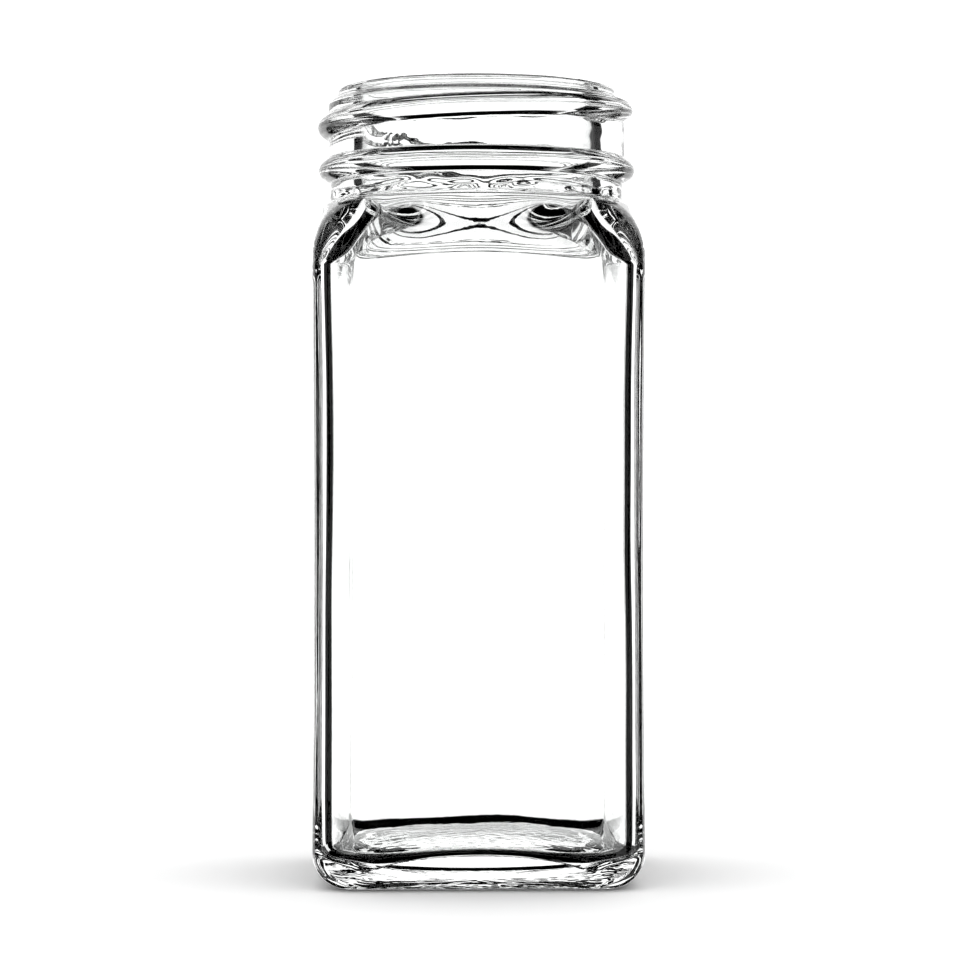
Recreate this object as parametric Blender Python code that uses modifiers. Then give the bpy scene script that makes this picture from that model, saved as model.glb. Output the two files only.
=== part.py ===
"""Clear glass specimen jar with a square body, a domed shoulder and a round screw neck.

The jar is one glass moulding, so it is one solid. It stands on z = 0 with its axis on the Z axis,
and the flats of its body face X and Y. Everything is in metres.

The body and shoulder are lofts between rounded squares and circles. The neck above them is turned,
the thread is a bead swept along a helix, and the inside is cut out by a cavity of the same kind.
"""

from math import cos, pi, radians, sin, sqrt, tau

import bmesh
import bpy

# Body
HEIGHT = 0.104
BODY_HALF_WIDTH = 0.0213
CORNER_RADIUS = 0.0052
HEEL_RADIUS = 0.0046
WAIST_DEPTH = 0.00022
PUSH_UP_RADIUS = 0.0152
PUSH_UP_DEPTH = 0.0018

# Shoulder
SHOULDER_START_ON_FLAT = 0.083
SHOULDER_START_ON_CORNER = 0.0804
SHOULDER_TOP = 0.0886
SHOULDER_ROUNDNESS = 1.8

# Neck
NECK_FOOT_RADIUS = 0.01935
NECK_RADIUS = 0.01965
NECK_TOP = 0.1017
RIM_RADIUS = 0.0184
LIP_RADIUS = 0.0007
BEAD_HEIGHT = 0.0931
BEAD_RADIUS = 0.02095
BEAD_HALF_THICKNESS = 0.00155
NECK_OVERLAP = 0.0003

# Thread: one right-hand start
THREAD_RADIUS = 0.02105
THREAD_BEAD_RADIUS = 0.0015
THREAD_PITCH = 0.0044
THREAD_HEIGHT_AT_FRONT = 0.0999
THREAD_TOP_ANGLE = radians(32)
THREAD_BOTTOM_ANGLE = radians(-316)
THREAD_TOP_RUN_OUT = radians(80)
THREAD_BOTTOM_RUN_OUT = radians(40)
THREAD_SWELL_POWER = 0.6
THREAD_THINNEST_SHARE = 0.2
THREAD_SUNK = 0.0001
FRONT_ANGLE = radians(-90)

# Cavity
CAVITY_HALF_WIDTH = 0.0191
CAVITY_CORNER_RADIUS = 0.0036
CAVITY_FLOOR = 0.0044
CAVITY_FLOOR_RISE = 0.0013
CAVITY_CORNER_DROP = 0.0012
CAVITY_FLOOR_HALF_WIDTH = 0.017
CAVITY_FLOOR_CORNER_RADIUS = 0.009
CAVITY_FOOT_RISE = 0.007
CAVITY_FOOT_SHARPNESS = 14
CAVITY_SHOULDER_ON_FLAT = 0.0810
CAVITY_SHOULDER_ON_CORNER = 0.0796
CAVITY_SHOULDER_TOP = 0.0877
CAVITY_SHOULDER_ROUNDNESS = 1.45
CAVITY_FLARE_ON_FLAT = 1.3
CAVITY_FLARE_ON_CORNER = 0.7
BORE_RADIUS = 0.0153

# Fineness of the mesh
CORNER_SPAN = radians(15)
CORNER_STEPS = 5
FLAT_STEPS = 9
ARC_STEPS = 4
FOOT_STEPS = 6
BODY_STEPS = 4
SHOULDER_STEPS = 9
CENTRE_RADIUS = 0.0005
BEAD_STEPS = 8
TURN_STEPS = 56
THREAD_STEPS_PER_TURN = 40
THREAD_BEVEL_RESOLUTION = 3
SMOOTH_ANGLE = radians(40)
MERGE_DISTANCE = 0.00001
CUTTER_OVERRUN = 0.002

GLASS_COLOUR = (0.93, 0.97, 0.95, 1.0)
GLASS_ROUGHNESS = 0.02
GLASS_INDEX = 1.52


# Scene


def clear_scene():
    for obj in list(bpy.data.objects):
        bpy.data.objects.remove(obj, do_unlink=True)


def new_collection(name):
    collection = bpy.data.collections.new(name)
    bpy.context.scene.collection.children.link(collection)
    return collection


def clear_glass():
    material = bpy.data.materials.new("clear_flint_glass")
    material.use_nodes = True
    shader = material.node_tree.nodes["Principled BSDF"]
    shader.inputs["Base Color"].default_value = GLASS_COLOUR
    shader.inputs["Roughness"].default_value = GLASS_ROUGHNESS
    shader.inputs["Metallic"].default_value = 0.0
    shader.inputs["IOR"].default_value = GLASS_INDEX
    shader.inputs["Transmission Weight"].default_value = 1.0
    return material


def make_guide(obj):
    """Marks an object that only shapes another one."""
    obj.hide_render = True
    obj.display_type = "WIRE"


# Plan outlines


def folded_angle(angle):
    """The angle from the middle of the nearest flat: 0 there, and an eighth of a turn on a corner."""
    return abs((angle + pi / 4) % (pi / 2) - pi / 4)


def square_reach(angle, half_width, corner_radius):
    """How far a rounded square is from the axis in this direction."""
    angle = folded_angle(angle)
    inset = half_width - corner_radius
    if half_width * sin(angle) <= inset * cos(angle):
        return half_width / cos(angle)
    offset = inset * (cos(angle) - sin(angle))
    return inset * (cos(angle) + sin(angle)) + sqrt(corner_radius**2 - offset**2)


def corner_share(angle):
    """0 at the middle of a flat, rising to 1 on a corner."""
    corner_reach = square_reach(pi / 4, BODY_HALF_WIDTH, CORNER_RADIUS)
    reach = square_reach(angle, BODY_HALF_WIDTH, CORNER_RADIUS)
    return (reach - BODY_HALF_WIDTH) / (corner_reach - BODY_HALF_WIDTH)


def flat_to_corner(on_flat, on_corner):
    """A value that changes with the direction, from the middle of a flat to a corner."""
    return lambda angle: on_flat + (on_corner - on_flat) * corner_share(angle)


def ring_angles():
    """Directions of a ring's points: wide apart on the flats and close together on the corners."""
    flat_width = pi / 2 - CORNER_SPAN
    angles = []
    for quarter in range(4):
        middle = quarter * pi / 2
        angles += [middle - flat_width / 2 + flat_width * i / FLAT_STEPS for i in range(FLAT_STEPS)]
        angles += [middle + flat_width / 2 + CORNER_SPAN * i / CORNER_STEPS for i in range(CORNER_STEPS)]
    return angles


ANGLES = ring_angles()


def ring(reach, height):
    """One closed section. Reach and height are numbers, or functions of the direction."""
    points = []
    for angle in ANGLES:
        distance = reach(angle) if callable(reach) else reach
        level = height(angle) if callable(height) else height
        points.append((distance * cos(angle), distance * sin(angle), level))
    return points


# Shapes of body and cavity


def arc(steps, first=0):
    """(sine, cosine) pairs from 0 to a quarter turn, leaving out those before the first."""
    return [(sin(pi / 2 * i / steps), cos(pi / 2 * i / steps)) for i in range(first, steps + 1)]


def foot_rings(half_width, corner_radius, foot_radius, bottom):
    """Quarter-round from a level bottom up to the upright wall."""
    rings = []
    for rise, spread in arc(ARC_STEPS):
        inset = foot_radius * (1 - rise)
        level = bottom + foot_radius * (1 - spread)
        radius = max(corner_radius - inset, foot_radius / 8)
        rings.append(ring(lambda angle: square_reach(angle, half_width - inset, radius), level))
    return rings


def wall_rings(half_width, corner_radius, bottom, top):
    """Upright wall, drawn in a little at mid-height as cooling glass is. The ends are left to others."""
    rings = []
    for step in range(1, BODY_STEPS):
        share = step / BODY_STEPS
        waist = WAIST_DEPTH * sin(pi * share)
        rings.append(
            ring(
                lambda angle: square_reach(angle, half_width - waist, corner_radius),
                lambda angle: bottom + (top(angle) - bottom) * share,
            )
        )
    return rings


def shoulder_rings(half_width, corner_radius, neck_radius, start, top, roundness, flare):
    """Dome from the rounded square in to the circle of the neck, flared out into it where flare is over 1."""
    rings = []
    for rise, _ in arc(SHOULDER_STEPS):
        lift = rise ** (2 / roundness)
        rings.append(
            ring(
                lambda angle: neck_radius
                + (square_reach(angle, half_width, corner_radius) - neck_radius)
                * max(1 - lift**roundness, 0) ** flare(angle),
                lambda angle: start(angle) + (top - start(angle)) * lift,
            )
        )
    return rings


def loft(name, rings, collection):
    """Closed solid through the rings, from the lowest to the highest."""
    mesh = bpy.data.meshes.new(name)
    obj = bpy.data.objects.new(name, mesh)
    collection.objects.link(obj)
    shape = bmesh.new()
    loops = [[shape.verts.new(point) for point in points] for points in rings]
    for lower, upper in zip(loops, loops[1:]):
        for i in range(len(lower)):
            j = (i + 1) % len(lower)
            shape.faces.new((lower[i], lower[j], upper[j], upper[i]))
    shape.faces.new(reversed(loops[0]))
    shape.faces.new(loops[-1])
    shape.to_mesh(mesh)
    shape.free()
    return obj


def make_body(collection):
    start = flat_to_corner(SHOULDER_START_ON_FLAT, SHOULDER_START_ON_CORNER)
    rings = foot_rings(BODY_HALF_WIDTH, CORNER_RADIUS, HEEL_RADIUS, 0)
    rings += wall_rings(BODY_HALF_WIDTH, CORNER_RADIUS, HEEL_RADIUS, start)
    rings += shoulder_rings(
        BODY_HALF_WIDTH,
        CORNER_RADIUS,
        NECK_FOOT_RADIUS,
        start,
        SHOULDER_TOP,
        SHOULDER_ROUNDNESS,
        lambda angle: 1 / SHOULDER_ROUNDNESS,
    )
    rings.append(ring(NECK_FOOT_RADIUS, BEAD_HEIGHT))
    return loft("glass_jar", rings, collection)


def cavity_floor_rings():
    """Floor of the cavity, highest in the middle and lowest in the corners, and its turn up to the wall."""

    def floor(angle):
        return square_reach(angle, CAVITY_FLOOR_HALF_WIDTH, CAVITY_FLOOR_CORNER_RADIUS)

    def wall(angle):
        return square_reach(angle, CAVITY_HALF_WIDTH, CAVITY_CORNER_RADIUS)

    edge = flat_to_corner(CAVITY_FLOOR, CAVITY_FLOOR - CAVITY_CORNER_DROP)
    middle = CAVITY_FLOOR + CAVITY_FLOOR_RISE
    top = CAVITY_FLOOR + CAVITY_FOOT_RISE
    rings = [ring(CENTRE_RADIUS, middle)]
    for outward, lift in arc(ARC_STEPS, first=1)[:-1]:
        rings.append(
            ring(
                lambda angle: floor(angle) * outward,
                lambda angle: edge(angle) + (middle - edge(angle)) * lift,
            )
        )
    for _, spread in arc(FOOT_STEPS):
        rings.append(
            ring(
                lambda angle: wall(angle) + (floor(angle) - wall(angle)) * spread**CAVITY_FOOT_SHARPNESS,
                lambda angle: edge(angle) + (top - edge(angle)) * (1 - spread),
            )
        )
    return rings


def make_cavity(collection):
    """The hollow inside, run on through the rim, with the inner edge of the lip rounded."""
    start = flat_to_corner(CAVITY_SHOULDER_ON_FLAT, CAVITY_SHOULDER_ON_CORNER)
    rings = cavity_floor_rings()
    rings += wall_rings(CAVITY_HALF_WIDTH, CAVITY_CORNER_RADIUS, CAVITY_FLOOR + CAVITY_FOOT_RISE, start)
    rings += shoulder_rings(
        CAVITY_HALF_WIDTH,
        CAVITY_CORNER_RADIUS,
        BORE_RADIUS,
        start,
        CAVITY_SHOULDER_TOP,
        CAVITY_SHOULDER_ROUNDNESS,
        flat_to_corner(CAVITY_FLARE_ON_FLAT, CAVITY_FLARE_ON_CORNER),
    )
    for rise, spread in arc(ARC_STEPS):
        rings.append(ring(BORE_RADIUS + LIP_RADIUS * (1 - spread), HEIGHT - LIP_RADIUS * (1 - rise)))
    rings.append(ring(BORE_RADIUS + LIP_RADIUS, HEIGHT + CUTTER_OVERRUN))
    cavity = loft("cavity", rings, collection)
    make_guide(cavity)
    return cavity


def make_push_up(collection):
    """Shallow dome cut up into the underside, so that the jar stands on a level ring."""
    bpy.ops.mesh.primitive_uv_sphere_add(segments=32, ring_count=16, radius=1, location=(0, 0, 0))
    push_up = bpy.context.object
    push_up.name = "push_up"
    push_up.scale = (PUSH_UP_RADIUS, PUSH_UP_RADIUS, PUSH_UP_DEPTH)
    move_to(push_up, collection)
    make_guide(push_up)
    return push_up


# Neck finish


def neck_profile():
    """(radius, height) points down the outside of the neck, from the axis at the rim and back to it."""
    step = RIM_RADIUS - NECK_RADIUS
    profile = [(0, HEIGHT)]
    for rise, spread in arc(ARC_STEPS):
        profile.append((RIM_RADIUS - LIP_RADIUS * (1 - rise), HEIGHT - LIP_RADIUS * (1 - spread)))
    for rise, spread in arc(ARC_STEPS):
        profile.append((RIM_RADIUS - step * (1 - spread) / 2, NECK_TOP - step * (1 - rise) / 2))
    for rise, spread in arc(ARC_STEPS, first=1):
        profile.append((NECK_RADIUS + step * (1 - rise) / 2, NECK_TOP + step * (1 - spread) / 2))
    for i in range(BEAD_STEPS + 1):
        turn = pi * i / BEAD_STEPS
        root = NECK_RADIUS if turn < pi / 2 else NECK_FOOT_RADIUS - NECK_OVERLAP
        radius = root + (BEAD_RADIUS - root) * sin(turn)
        profile.append((radius, BEAD_HEIGHT + BEAD_HALF_THICKNESS * cos(turn)))
    profile.append((0, BEAD_HEIGHT - BEAD_HALF_THICKNESS))
    return profile


def make_neck(collection):
    """Rim, neck and transfer bead, turned about the jar's axis."""
    profile = neck_profile()
    mesh = bpy.data.meshes.new("neck")
    edges = [(i, i + 1) for i in range(len(profile) - 1)]
    mesh.from_pydata([(radius, 0, height) for radius, height in profile], edges, [])
    neck = bpy.data.objects.new("neck", mesh)
    collection.objects.link(neck)
    screw = neck.modifiers.new("turn", "SCREW")
    screw.axis = "Z"
    screw.angle = tau
    screw.steps = TURN_STEPS
    screw.render_steps = TURN_STEPS
    screw.use_merge_vertices = True
    screw.merge_threshold = MERGE_DISTANCE
    make_guide(neck)
    return neck


def thread_thickness(angle):
    """Share of the full bead: it swells from nothing at one end and dies away at the other."""
    from_top = min((THREAD_TOP_ANGLE - angle) / THREAD_TOP_RUN_OUT, 1)
    from_bottom = min((angle - THREAD_BOTTOM_ANGLE) / THREAD_BOTTOM_RUN_OUT, 1)
    return sin(pi / 2 * min(from_top, from_bottom)) ** THREAD_SWELL_POWER


def thread_path():
    """(x, y, z, thickness) along the helix. A thin bead sinks towards the neck wall."""
    turns = (THREAD_TOP_ANGLE - THREAD_BOTTOM_ANGLE) / tau
    steps = round(turns * THREAD_STEPS_PER_TURN)
    path = []
    for i in range(steps + 1):
        angle = THREAD_BOTTOM_ANGLE + (THREAD_TOP_ANGLE - THREAD_BOTTOM_ANGLE) * i / steps
        thickness = max(thread_thickness(angle), THREAD_THINNEST_SHARE)
        swell = (thickness - THREAD_THINNEST_SHARE) / (1 - THREAD_THINNEST_SHARE)
        crest = NECK_RADIUS + (THREAD_RADIUS - NECK_RADIUS) * swell
        distance = crest - THREAD_BEAD_RADIUS * thickness - (1 - thickness) * THREAD_SUNK
        height = THREAD_HEIGHT_AT_FRONT + THREAD_PITCH * (angle - FRONT_ANGLE) / tau
        path.append((distance * cos(angle), distance * sin(angle), height, thickness))
    return path


def make_thread(collection):
    """The screw thread, as a mesh swept along its helix."""
    curve = bpy.data.curves.new("thread_path", "CURVE")
    curve.dimensions = "3D"
    curve.bevel_depth = THREAD_BEAD_RADIUS
    curve.bevel_resolution = THREAD_BEVEL_RESOLUTION
    curve.use_fill_caps = True
    path = thread_path()
    spline = curve.splines.new("POLY")
    spline.points.add(len(path) - 1)
    for point, (x, y, z, thickness) in zip(spline.points, path):
        point.co = (x, y, z, 1)
        point.radius = thickness
    swept = bpy.data.objects.new("thread_path", curve)
    collection.objects.link(swept)
    thread = mesh_from(swept, "thread", collection)
    make_guide(thread)
    return thread


def mesh_from(curve_object, name, collection):
    """Turns a bevelled curve into a closed mesh object, and removes the curve."""
    bpy.context.view_layer.update()
    graph = bpy.context.evaluated_depsgraph_get()
    mesh = bpy.data.meshes.new_from_object(curve_object.evaluated_get(graph))
    shape = bmesh.new()
    shape.from_mesh(mesh)
    bmesh.ops.remove_doubles(shape, verts=shape.verts, dist=MERGE_DISTANCE)
    bmesh.ops.recalc_face_normals(shape, faces=shape.faces)
    shape.to_mesh(mesh)
    shape.free()
    obj = bpy.data.objects.new(name, mesh)
    obj.matrix_world = curve_object.matrix_world
    collection.objects.link(obj)
    bpy.data.objects.remove(curve_object, do_unlink=True)
    return obj


# Assembly


def move_to(obj, collection):
    for old in list(obj.users_collection):
        old.objects.unlink(obj)
    collection.objects.link(obj)


def combine(target, tool, operation):
    boolean = target.modifiers.new(tool.name, "BOOLEAN")
    boolean.operation = operation
    boolean.object = tool


def shade(obj):
    obj.data.shade_smooth()
    obj.data.set_sharp_from_angle(angle=SMOOTH_ANGLE)


def main():
    clear_scene()
    jar_collection = new_collection("specimen_jar")
    cutters = new_collection("cutters")
    jar = make_body(jar_collection)
    jar.data.materials.append(clear_glass())
    shade(jar)
    combine(jar, make_neck(cutters), "UNION")
    combine(jar, make_thread(cutters), "UNION")
    combine(jar, make_cavity(cutters), "DIFFERENCE")
    combine(jar, make_push_up(cutters), "DIFFERENCE")


main()
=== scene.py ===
"""The finished specimen jar: one smooth wall of clear glass on a pale floor, in a bright light tent.

The jar is one closed mesh. Its wall is a list of rings that starts under the base, runs up the outside,
over the lip and down the inside to the floor of the cavity. Everything is in metres.
"""

from math import asin, cos, pi, radians, sin, tau

import bpy
import numpy as np
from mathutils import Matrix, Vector, noise


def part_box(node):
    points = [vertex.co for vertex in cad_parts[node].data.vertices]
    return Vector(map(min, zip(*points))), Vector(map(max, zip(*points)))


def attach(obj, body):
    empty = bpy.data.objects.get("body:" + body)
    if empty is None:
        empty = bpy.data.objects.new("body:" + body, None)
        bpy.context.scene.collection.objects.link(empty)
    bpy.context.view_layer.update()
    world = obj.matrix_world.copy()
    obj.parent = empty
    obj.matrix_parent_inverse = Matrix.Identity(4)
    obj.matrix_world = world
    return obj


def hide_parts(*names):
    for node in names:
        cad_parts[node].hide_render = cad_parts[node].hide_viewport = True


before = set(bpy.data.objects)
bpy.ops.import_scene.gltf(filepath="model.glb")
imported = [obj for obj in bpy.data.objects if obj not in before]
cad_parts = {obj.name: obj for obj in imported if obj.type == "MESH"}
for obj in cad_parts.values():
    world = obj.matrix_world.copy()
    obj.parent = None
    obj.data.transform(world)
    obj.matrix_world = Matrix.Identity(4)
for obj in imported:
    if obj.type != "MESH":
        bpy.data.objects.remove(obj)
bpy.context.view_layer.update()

jar_low, jar_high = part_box("glass_jar")

# Sizes that the frame gives
HEIGHT = jar_high[2] - jar_low[2]
HALF_WIDTH = (jar_high[0] - jar_low[0]) / 2

# Body
CORNER_RADIUS = 0.0052
HEEL_RADIUS = 0.0046
WAIST_DEPTH = 0.00022
PUSH_UP_RADIUS = 0.0152
PUSH_UP_DEPTH = 0.0018
SHOULDER_START_ON_FLAT = 0.083
SHOULDER_START_ON_CORNER = 0.0804
SHOULDER_TOP = 0.0886
SHOULDER_ROUNDNESS = 1.8
SHOULDER_FILLET = 0.0006

# Neck
NECK_FOOT_RADIUS = 0.01935
NECK_RADIUS = 0.01965
NECK_TOP = 0.1017
RIM_RADIUS = 0.0184
LIP_RADIUS = 0.0007
BEAD_HEIGHT = 0.0931
BEAD_RADIUS = 0.02095
BEAD_HALF_THICKNESS = 0.00155
# Section of the bead and the thread: how blunt the crest is, and how softly the edges meet the neck
SWELL_BLUNTNESS = 2.2
SWELL_EDGE_POWER = 0.9

# Thread: one right-hand start
THREAD_RADIUS = 0.02105
THREAD_HALF_THICKNESS = 0.0015
THREAD_PITCH = 0.0044
THREAD_HEIGHT_AT_FRONT = 0.0999
THREAD_TOP_ANGLE = radians(32)
THREAD_BOTTOM_ANGLE = radians(-316)
THREAD_TOP_RUN_OUT = radians(80)
THREAD_BOTTOM_RUN_OUT = radians(40)
THREAD_SWELL_POWER = 0.6
THREAD_THINNEST_SHARE = 0.05
FRONT_ANGLE = radians(-90)

# Cavity
CAVITY_HALF_WIDTH = 0.0191
CAVITY_CORNER_RADIUS = 0.0036
CAVITY_FLOOR = 0.0044
CAVITY_FLOOR_RISE = 0.0013
CAVITY_CORNER_DROP = 0.0012
CAVITY_FLOOR_HALF_WIDTH = 0.017
CAVITY_FLOOR_CORNER_RADIUS = 0.009
CAVITY_FOOT_RISE = 0.007
CAVITY_FOOT_SHARPNESS = 14
CAVITY_SHOULDER_ON_FLAT = 0.0810
CAVITY_SHOULDER_ON_CORNER = 0.0796
CAVITY_SHOULDER_TOP = 0.0877
CAVITY_SHOULDER_ROUNDNESS = 1.45
CAVITY_FLARE_ON_FLAT = 1.3
CAVITY_FLARE_ON_CORNER = 0.7
BORE_RADIUS = 0.0153

# Unevenness of moulded glass: how deep, and how far apart the waves are along the jar and across it
WALL_WAVE_DEPTH = 0.00014
WALL_WAVE_LENGTH = 0.016
WALL_WAVE_WIDTH = 0.009
BORE_WAVE_DEPTH = 0.00005
BORE_WAVE_LENGTH = 0.0016
BORE_WAVE_WIDTH = 0.006
PARTING_HEIGHT = 0.0896
PARTING_WANDER = 0.00045
PARTING_DEPTH = 0.00008
FOLD_HEIGHTS = (0.0889, 0.0901)
FOLD_WANDER = 0.0008
FOLD_DEPTH = 0.0003
RIDGE_HALF_THICKNESS = 0.00045
# A ridge's wander and strength: wave width on a circle of radius 1, and the height that tells ridges apart
WANDER_WIDTH = 0.35
WANDER_LENGTH = 0.001
STRENGTH_WIDTH = 0.2
STRENGTH_LENGTH = 0.0007
STRENGTH_MIDDLE = 0.6
STRENGTH_SWING = 1.4
# A stipple is the same at all heights nearby, so its waves are very long upwards
STIPPLE_LENGTH = 1
STIPPLE_DEPTH = 0.00004
STIPPLE_GRAIN = 0.0008
FLOOR_GRAIN_DEPTH = 0.00006
FLOOR_GRAIN = 0.0009
CHILL_DEPTH = 0.00003
CHILL_GRAIN = 0.0006
CHILL_REACH = 1.5
# Patches of chill marks on the neck: direction, half width, height, half height
CHILL_PATCHES = (
    (radians(-42), radians(14), 0.0898, 0.0022),
    (radians(-137), radians(9), 0.0893, 0.0016),
    (radians(70), radians(35), 0.0986, 0.0013),
)
WORN_THREAD_START = radians(-205)
WORN_THREAD_RUN_IN = radians(20)
WORN_THREAD_DEPTH = 0.85
WORN_THREAD_GRAIN = 0.0008

# Fineness of the mesh
CORNER_SPAN = radians(16)
CORNER_STEPS = 20
FLAT_STEPS = 36
FOOT_STEPS = 12
BODY_STEPS = 24
SHOULDER_STEPS = 24
NECK_ROW = 0.00012
BORE_ROW = 0.00016
LIP_STEPS = 6
CENTRE_STEPS = 40
CENTRE_RADIUS = 0.0003
SHARPEST_HEEL_CORNER = HEEL_RADIUS / 8

FLOOR_RADIUS = 0.3
FLOOR_SIDES = 96


# Plan outlines, as arrays with one entry for each direction of a ring


def ring_angles():
    """Directions of a ring's points: close together on the corners."""
    flat_span = pi / 2 - CORNER_SPAN
    angles = []
    for quarter in range(4):
        middle = quarter * pi / 2
        angles += [middle - flat_span / 2 + flat_span * i / FLAT_STEPS for i in range(FLAT_STEPS)]
        angles += [middle + flat_span / 2 + CORNER_SPAN * i / CORNER_STEPS for i in range(CORNER_STEPS)]
    return np.array(angles)


ANGLES = ring_angles()
# The same directions, as turns from the middle of the nearest flat
FOLDED = np.abs((ANGLES + pi / 4) % (pi / 2) - pi / 4)


def square_reach(half_width, corner_radius):
    """How far a rounded square is from the axis in each direction."""
    inset = half_width - corner_radius
    offset = inset * (np.cos(FOLDED) - np.sin(FOLDED))
    on_corner = inset * (np.cos(FOLDED) + np.sin(FOLDED)) + np.sqrt(
        np.maximum(corner_radius**2 - offset**2, 0)
    )
    on_flat = half_width / np.cos(FOLDED)
    return np.where(half_width * np.sin(FOLDED) <= inset * np.cos(FOLDED), on_flat, on_corner)


def circle(radius):
    return np.full(len(ANGLES), float(radius))


def corner_share():
    """0 at the middle of a flat, rising to 1 on a corner."""
    reach = square_reach(HALF_WIDTH, CORNER_RADIUS)
    return (reach - HALF_WIDTH) / (reach.max() - HALF_WIDTH)


def shoulder_start(on_flat, on_corner):
    """The arched line where a flat ends, highest in the middle of each side."""
    return on_flat + (on_corner - on_flat) * corner_share()


# Unevenness


def ripple(reach, height, length, width):
    """Smooth noise from -1 to 1 at each point of a ring."""
    x = reach * np.cos(ANGLES) / width
    y = reach * np.sin(ANGLES) / width
    return np.array([noise.noise(Vector(point)) for point in zip(x, y, height / length)])


def uneven(ring, depth, length, width):
    """The same ring with smooth waves in and out."""
    reach, height = ring
    return reach + depth * ripple(reach, height, length, width), height


def around(angle):
    """Turn from the given angle to each direction, between -pi and pi."""
    return (ANGLES - angle + pi) % tau - pi


def stippled(ring, depth, grain):
    """The same ring with a fine stipple pressed up into it."""
    reach, height = ring
    return reach, height + depth * (1 + ripple(reach, height, STIPPLE_LENGTH, grain))


def uneven_ridge(height, middle, wander, depth):
    """Ridge around the neck at about the given height, which wanders up and down and comes and goes."""
    line = middle + wander * ripple(circle(1), circle(middle), WANDER_LENGTH, WANDER_WIDTH)
    swing = STRENGTH_SWING * ripple(circle(1), circle(middle), STRENGTH_LENGTH, STRENGTH_WIDTH)
    strength = np.clip(STRENGTH_MIDDLE + swing, 0, 1)
    return depth * strength * np.exp(-(((height - line) / RIDGE_HALF_THICKNESS) ** 2))


def parting_line(height):
    """Where the neck ring met the body mould."""
    return uneven_ridge(height, PARTING_HEIGHT, PARTING_WANDER, PARTING_DEPTH)


def folds(height):
    """Fine folds inside the neck, where the glass chilled first."""
    depth = circle(0)
    for middle in FOLD_HEIGHTS:
        depth += uneven_ridge(height, middle, FOLD_WANDER, FOLD_DEPTH)
    return depth


def chill_marks(height):
    """Patches of fine pitting where the neck of the mould was cold."""
    cover = np.zeros(len(ANGLES))
    for angle, half_width, middle, half_height in CHILL_PATCHES:
        far = (around(angle) / half_width) ** 2 + ((height - middle) / half_height) ** 2
        cover = np.maximum(cover, np.clip(CHILL_REACH - far, 0, 1))
    return CHILL_DEPTH * cover * ripple(circle(NECK_RADIUS), circle(height), CHILL_GRAIN, CHILL_GRAIN)


# Rings of the wall. Each is (distance from the axis, height), as arrays


def quarter_turn(steps):
    return [pi / 2 * i / steps for i in range(steps + 1)]


def heel_rings():
    """Quarter-round from the level base up to the upright wall."""
    rings = []
    for turn in quarter_turn(FOOT_STEPS):
        inset = HEEL_RADIUS * (1 - sin(turn))
        radius = max(CORNER_RADIUS - inset, SHARPEST_HEEL_CORNER)
        reach = square_reach(HALF_WIDTH - inset, radius)
        rings.append((reach, circle(HEEL_RADIUS * (1 - cos(turn)))))
    return rings


def cavity_floor_rings():
    """Floor of the cavity, highest in the middle and lowest in the corners, and its turn up to the wall."""
    wall = square_reach(CAVITY_HALF_WIDTH, CAVITY_CORNER_RADIUS)
    floor = square_reach(CAVITY_FLOOR_HALF_WIDTH, CAVITY_FLOOR_CORNER_RADIUS)
    edge = CAVITY_FLOOR - CAVITY_CORNER_DROP * corner_share()
    top = CAVITY_FLOOR + CAVITY_FOOT_RISE
    dome = centre_rings(floor, edge, CAVITY_FLOOR + CAVITY_FLOOR_RISE)
    rings = [stippled(ring, FLOOR_GRAIN_DEPTH, FLOOR_GRAIN) for ring in dome]
    for turn in quarter_turn(FOOT_STEPS):
        share = 1 - cos(turn)
        inward = (1 - share) ** CAVITY_FOOT_SHARPNESS
        rings.append((wall + (floor - wall) * inward, edge + (top - edge) * share))
    return rings


def wall_rings(half_width, corner_radius, bottom, top):
    """Upright wall, drawn in a little at mid-height as cooling glass is."""
    rings = []
    for step in range(1, BODY_STEPS):
        share = step / BODY_STEPS
        waist = WAIST_DEPTH * sin(pi * share)
        reach = square_reach(half_width - waist, corner_radius)
        rings.append((reach, bottom + (top - bottom) * share))
    return rings


def shoulder_rings(half_width, corner_radius, neck_radius, start, top, roundness, flare):
    """Dome from the rounded square in to the circle of the neck.

    A higher roundness makes the dome squarer, and a higher flare draws it in sooner.
    """
    square = square_reach(half_width, corner_radius)
    rings = []
    for turn in quarter_turn(SHOULDER_STEPS):
        rise = sin(turn) ** (2 / roundness)
        inward = circle(1 - min(rise, 1) ** roundness) ** flare
        rings.append((neck_radius + (square - neck_radius) * inward, start + (top - start) * rise))
    return rings


def centre_rings(reach, edge_height, centre_height):
    """Shallow dome from near the axis out to the given outline."""
    rings = []
    for step in range(CENTRE_STEPS):
        turn = pi / 2 * step / CENTRE_STEPS
        share = sin(turn) + (1 - sin(turn)) * CENTRE_RADIUS / HALF_WIDTH
        rings.append((reach * share, edge_height + (centre_height - edge_height) * cos(turn)))
    return rings


def swell(distance, half_thickness):
    """Section of a glass bead: 1 on its crest and 0 past its edges, with soft edges."""
    return np.clip(1 - np.abs(distance / half_thickness) ** SWELL_BLUNTNESS, 0, 1) ** SWELL_EDGE_POWER


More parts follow.
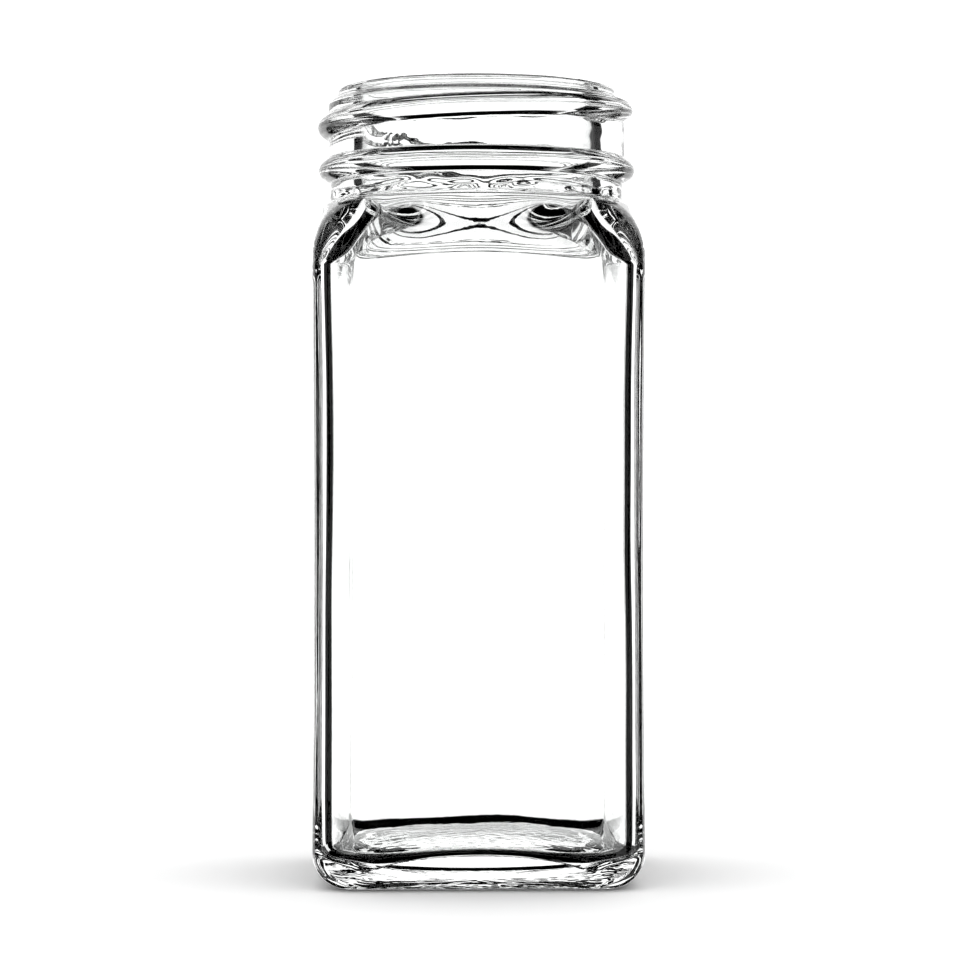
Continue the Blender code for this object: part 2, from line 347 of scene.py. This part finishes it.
def thread_crest(height):
    """How far the thread stands out of the neck at this height, in each direction.

    Its angles cross the edge between two turns, so each direction is looked up in both.
    """
    pitting = ripple(circle(NECK_RADIUS), circle(height), WORN_THREAD_GRAIN, WORN_THREAD_GRAIN)
    stand = np.zeros(len(ANGLES))
    for turn in (-1, 0):
        angles = (ANGLES + tau / 4) % tau - tau / 4 + turn * tau
        from_top = np.clip((THREAD_TOP_ANGLE - angles) / THREAD_TOP_RUN_OUT, 0, 1)
        from_bottom = np.clip((angles - THREAD_BOTTOM_ANGLE) / THREAD_BOTTOM_RUN_OUT, 0, 1)
        share = np.sin(pi / 2 * np.minimum(from_top, from_bottom)) ** THREAD_SWELL_POWER
        worn = np.clip((WORN_THREAD_START - angles) / WORN_THREAD_RUN_IN, 0, 1) * WORN_THREAD_DEPTH
        share = share * (1 - worn * (1 + pitting) / 2)
        middle = THREAD_HEIGHT_AT_FRONT + THREAD_PITCH * (angles - FRONT_ANGLE) / tau
        thickness = THREAD_HALF_THICKNESS * np.maximum(share, THREAD_THINNEST_SHARE)
        stand = np.maximum(stand, share * swell(height - middle, thickness))
    return stand * (THREAD_RADIUS - NECK_RADIUS)


def neck_reach(height):
    """Outside of the neck between shoulder and rim."""
    root = NECK_RADIUS if height > BEAD_HEIGHT else NECK_FOOT_RADIUS
    reach = circle(root) + thread_crest(height) + parting_line(height) + chill_marks(height)
    reach += (BEAD_RADIUS - root) * swell(height - BEAD_HEIGHT, BEAD_HALF_THICKNESS)
    rise = height - SHOULDER_TOP
    if rise < SHOULDER_FILLET:
        reach += SHOULDER_FILLET * (1 - cos(asin(1 - rise / SHOULDER_FILLET)))
    return reach


def rows(start, end, spacing):
    """Heights from start to end, about the given distance apart."""
    count = max(round(abs(end - start) / spacing), 1)
    return [start + (end - start) * i / count for i in range(count + 1)]


def neck_rings():
    """Neck, bead and thread, the step below the rim, the rim and its rounded lip."""
    half_step = (NECK_RADIUS - RIM_RADIUS) / 2
    rings = [(neck_reach(height), circle(height)) for height in rows(SHOULDER_TOP, NECK_TOP, NECK_ROW)[1:]]
    thread_at_top = neck_reach(NECK_TOP) - NECK_RADIUS
    for turn in quarter_turn(LIP_STEPS)[1:]:
        reach = NECK_RADIUS + thread_at_top * cos(turn) - half_step * (1 - cos(turn))
        rings.append((reach, circle(NECK_TOP + half_step * sin(turn))))
    for turn in quarter_turn(LIP_STEPS)[1:]:
        radius = RIM_RADIUS + half_step * (1 - sin(turn))
        rings.append((circle(radius), circle(NECK_TOP + half_step * (2 - cos(turn)))))
    for turn in quarter_turn(LIP_STEPS):
        radius = RIM_RADIUS - LIP_RADIUS * (1 - cos(turn))
        rings.append((circle(radius), circle(HEIGHT - LIP_RADIUS * (1 - sin(turn)))))
    return rings


def bore_rings():
    """From the inner edge of the lip down the bore."""
    rings = []
    for turn in quarter_turn(LIP_STEPS):
        radius = BORE_RADIUS + LIP_RADIUS * (1 - sin(turn))
        rings.append((circle(radius), circle(HEIGHT - LIP_RADIUS * (1 - cos(turn)))))
    for height in rows(HEIGHT - LIP_RADIUS, CAVITY_SHOULDER_TOP, BORE_ROW)[1:-1]:
        rings.append((BORE_RADIUS - folds(height), circle(height)))
    return rings


def outside_rings():
    """From the middle of the push-up out over the heel and up to the rim."""
    start = shoulder_start(SHOULDER_START_ON_FLAT, SHOULDER_START_ON_CORNER)
    push_up = centre_rings(circle(PUSH_UP_RADIUS), circle(0), PUSH_UP_DEPTH)
    rings = [stippled(ring, STIPPLE_DEPTH, STIPPLE_GRAIN) for ring in push_up]
    rings.append((circle(PUSH_UP_RADIUS), circle(0)))
    rings += heel_rings()
    rings += wall_rings(HALF_WIDTH, CORNER_RADIUS, HEEL_RADIUS, start)
    rings += shoulder_rings(
        HALF_WIDTH,
        CORNER_RADIUS,
        NECK_FOOT_RADIUS + SHOULDER_FILLET,
        start,
        SHOULDER_TOP,
        SHOULDER_ROUNDNESS,
        1 / SHOULDER_ROUNDNESS,
    )
    return rings + neck_rings()


def inside_rings():
    """From the rim down the bore and the wall of the cavity to the middle of its floor."""
    start = shoulder_start(CAVITY_SHOULDER_ON_FLAT, CAVITY_SHOULDER_ON_CORNER)
    rings = cavity_floor_rings()
    rings += wall_rings(CAVITY_HALF_WIDTH, CAVITY_CORNER_RADIUS, CAVITY_FLOOR + CAVITY_FOOT_RISE, start)
    rings += shoulder_rings(
        CAVITY_HALF_WIDTH,
        CAVITY_CORNER_RADIUS,
        BORE_RADIUS,
        start,
        CAVITY_SHOULDER_TOP,
        CAVITY_SHOULDER_ROUNDNESS,
        CAVITY_FLARE_ON_FLAT + (CAVITY_FLARE_ON_CORNER - CAVITY_FLARE_ON_FLAT) * corner_share(),
    )
    wavy = [uneven(ring, WALL_WAVE_DEPTH, WALL_WAVE_LENGTH, WALL_WAVE_WIDTH) for ring in rings]
    bore = [uneven(ring, BORE_WAVE_DEPTH, BORE_WAVE_LENGTH, BORE_WAVE_WIDTH) for ring in bore_rings()]
    return bore + wavy[::-1]


# Mesh


def closed_mesh(name, rings):
    """Closed surface through the rings, with a face over the first and the last."""
    count = len(ANGLES)
    points = []
    for reach, height in rings:
        points.append(np.column_stack((reach * np.cos(ANGLES), reach * np.sin(ANGLES), height)))
    faces = []
    for lower in range(0, (len(rings) - 1) * count, count):
        upper = lower + count
        for i in range(count):
            j = (i + 1) % count
            faces.append((lower + i, lower + j, upper + j, upper + i))
    faces.append(tuple(range(count - 1, -1, -1)))
    faces.append(tuple(range((len(rings) - 1) * count, len(rings) * count)))
    mesh = bpy.data.meshes.new(name)
    mesh.from_pydata(np.vstack(points).tolist(), [], faces)
    mesh.shade_smooth()
    obj = bpy.data.objects.new(name, mesh)
    bpy.context.scene.collection.objects.link(obj)
    return obj


# Materials


GLASS_IOR = 1.52
GLASS_TINTS = ((0.975, 0.985, 0.98, 1.0), (1.0, 1.0, 1.0, 1.0))
HAZE_SCALE = 140.0
HAZE_DETAIL = 3.0
HAZE_RANGE = (0.45, 0.75)
HAZE_ROUGHNESS = (0.0, 0.012)
SKIN_SCALE = 420.0
SKIN_DETAIL = 2.0
SKIN_DEPTH = 0.000004


def noise_node(tree, scale, detail):
    """Noise in the jar's own coordinates, so that it stays with the glass."""
    place = tree.nodes.new("ShaderNodeTexCoord")
    texture = tree.nodes.new("ShaderNodeTexNoise")
    texture.inputs["Scale"].default_value = scale
    texture.inputs["Detail"].default_value = detail
    tree.links.new(place.outputs["Object"], texture.inputs["Vector"])
    return texture.outputs["Fac"]


def clear_glass():
    """Clear flint glass with a faint tint, a trace of haze in patches and a fire-polished skin."""
    material = bpy.data.materials.new("clear_glass")
    material.use_nodes = True
    tree = material.node_tree
    shader = tree.nodes["Principled BSDF"]
    shader.inputs["IOR"].default_value = GLASS_IOR
    shader.inputs["Transmission Weight"].default_value = 1.0
    haze = noise_node(tree, HAZE_SCALE, HAZE_DETAIL)
    tint = tree.nodes.new("ShaderNodeValToRGB")
    for stop, colour in zip(tint.color_ramp.elements, GLASS_TINTS):
        stop.color = colour
    tree.links.new(haze, tint.inputs["Fac"])
    tree.links.new(tint.outputs["Color"], shader.inputs["Base Color"])
    roughness = tree.nodes.new("ShaderNodeMapRange")
    roughness.inputs["From Min"].default_value = HAZE_RANGE[0]
    roughness.inputs["From Max"].default_value = HAZE_RANGE[1]
    roughness.inputs["To Min"].default_value = HAZE_ROUGHNESS[0]
    roughness.inputs["To Max"].default_value = HAZE_ROUGHNESS[1]
    tree.links.new(haze, roughness.inputs["Value"])
    tree.links.new(roughness.outputs["Result"], shader.inputs["Roughness"])
    skin = tree.nodes.new("ShaderNodeBump")
    skin.inputs["Distance"].default_value = SKIN_DEPTH
    tree.links.new(noise_node(tree, SKIN_SCALE, SKIN_DETAIL), skin.inputs["Height"])
    tree.links.new(skin.outputs["Normal"], shader.inputs["Normal"])
    return material


def pale_floor():
    material = bpy.data.materials.new("pale_floor")
    material.use_nodes = True
    shader = material.node_tree.nodes["Principled BSDF"]
    shader.inputs["Base Color"].default_value = (0.95, 0.95, 0.95, 1.0)
    shader.inputs["Roughness"].default_value = 0.9
    shader.inputs["Specular IOR Level"].default_value = 0.1
    return material


def make_jar():
    jar = closed_mesh("jar_wall", outside_rings() + inside_rings())
    jar.data.materials.append(clear_glass())
    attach(jar, "root")
    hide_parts("glass_jar")


def make_floor():
    """Pale disc under the jar, which isn't seen through the glass or mirrored in it."""
    bpy.ops.mesh.primitive_circle_add(vertices=FLOOR_SIDES, radius=FLOOR_RADIUS, fill_type="NGON")
    floor = bpy.context.object
    floor.name = "floor"
    floor.data.materials.append(pale_floor())
    floor.visible_glossy = False
    floor.visible_transmission = False


# Light

BACKGROUND_STRENGTH = 1.3
PANEL_EDGE = radians(3)

# Each panel of the light tent: direction from the jar, half width, bottom, top and strength.
# Directions are clockwise from +Y, seen from above
PANELS = (
    (radians(0), radians(45), radians(-17), radians(38), 1.3),
    (radians(-90), radians(12), radians(-20), radians(50), 1.2),
    (radians(90), radians(12), radians(-20), radians(50), 1.2),
    (radians(-45), radians(13), radians(-36), radians(-16), 1.0),
    (radians(135), radians(16), radians(-32), radians(2), 1.2),
)
# The tent between its panels is black
SURROUND_STRENGTH = 0.0


def math_node(tree, operation, *values):
    """Result of a Math node whose inputs are numbers or other nodes' results."""
    node = tree.nodes.new("ShaderNodeMath")
    node.operation = operation
    for socket, value in zip(node.inputs, values):
        if isinstance(value, (int, float)):
            socket.default_value = value
        else:
            tree.links.new(value, socket)
    return node.outputs[0]


def soft_step(tree, value, edge):
    """1 while the value is well below the edge, 0 well above it, and a short ramp between."""
    node = tree.nodes.new("ShaderNodeMapRange")
    node.interpolation_type = "SMOOTHSTEP"
    tree.links.new(value, node.inputs["Value"])
    node.inputs["From Min"].default_value = edge - PANEL_EDGE / 2
    node.inputs["From Max"].default_value = edge + PANEL_EDGE / 2
    node.inputs["To Min"].default_value = 1.0
    node.inputs["To Max"].default_value = 0.0
    return node.outputs["Result"]


def panel(tree, azimuth, elevation, centre, half_width, bottom, top, strength):
    """Brightness of one upright panel in each direction."""
    turned = math_node(tree, "SUBTRACT", azimuth, centre)
    turned = math_node(tree, "WRAP", turned, pi, -pi)
    sideways = soft_step(tree, math_node(tree, "ABSOLUTE", turned), half_width)
    below_top = soft_step(tree, elevation, top)
    above_bottom = soft_step(tree, math_node(tree, "MULTIPLY", elevation, -1.0), -bottom)
    upright = math_node(tree, "MULTIPLY", below_top, above_bottom)
    inside = math_node(tree, "MULTIPLY", sideways, upright)
    return math_node(tree, "MULTIPLY", inside, strength)


def light_tent():
    """Even white light, but through the glass only the lit panels of the tent are seen, as in a studio."""
    world = bpy.data.worlds.new("light_tent")
    bpy.context.scene.world = world
    world.use_nodes = True
    tree = world.node_tree
    tree.nodes.clear()
    direction = tree.nodes.new("ShaderNodeTexCoord").outputs["Generated"]
    split = tree.nodes.new("ShaderNodeSeparateXYZ")
    tree.links.new(direction, split.inputs[0])
    azimuth = math_node(tree, "ARCTAN2", split.outputs["X"], split.outputs["Y"])
    elevation = math_node(tree, "ARCSINE", split.outputs["Z"])
    seen = SURROUND_STRENGTH
    for settings in PANELS:
        seen = math_node(tree, "MAXIMUM", seen, panel(tree, azimuth, elevation, *settings))
    path = tree.nodes.new("ShaderNodeLightPath")
    mirrored = path.outputs["Is Glossy Ray"]
    refracted = path.outputs["Is Transmission Ray"]
    by_glass = math_node(tree, "MAXIMUM", mirrored, refracted)
    strength = tree.nodes.new("ShaderNodeMix")
    tree.links.new(by_glass, strength.inputs["Factor"])
    strength.inputs["A"].default_value = BACKGROUND_STRENGTH
    tree.links.new(seen, strength.inputs["B"])
    background = tree.nodes.new("ShaderNodeBackground")
    background.inputs["Color"].default_value = (1.0, 1.0, 1.0, 1.0)
    tree.links.new(strength.outputs["Result"], background.inputs["Strength"])
    output = tree.nodes.new("ShaderNodeOutputWorld")
    tree.links.new(background.outputs[0], output.inputs["Surface"])


# Camera

CAMERA_DISTANCE = 0.433
CAMERA_AZIMUTH = radians(-1.1)
CAMERA_SIDEWAYS = 0.00046
CAMERA_HEIGHT = 0.0522
LENS = 122.3


def make_camera():
    data = bpy.data.cameras.new("camera")
    data.lens = LENS
    data.sensor_width = 36.0
    data.clip_start = 0.01
    camera = bpy.data.objects.new("camera", data)
    back = Vector((sin(CAMERA_AZIMUTH), -cos(CAMERA_AZIMUTH), 0))
    right = Vector((cos(CAMERA_AZIMUTH), sin(CAMERA_AZIMUTH), 0))
    camera.location = back * CAMERA_DISTANCE + right * CAMERA_SIDEWAYS + Vector((0, 0, CAMERA_HEIGHT))
    camera.rotation_euler = (radians(90), 0, CAMERA_AZIMUTH)
    bpy.context.scene.collection.objects.link(camera)
    bpy.context.scene.camera = camera


def set_light_paths_and_tone():
    """Enough bounces for thick glass, and plain tones with the greys a little deeper."""
    scene = bpy.context.scene
    scene.cycles.max_bounces = 32
    scene.cycles.transmission_bounces = 32
    scene.cycles.glossy_bounces = 16
    scene.view_settings.view_transform = "Standard"
    scene.view_settings.look = "None"
    scene.view_settings.gamma = 0.75


make_jar()
make_floor()
light_tent()
make_camera()
set_light_paths_and_tone()
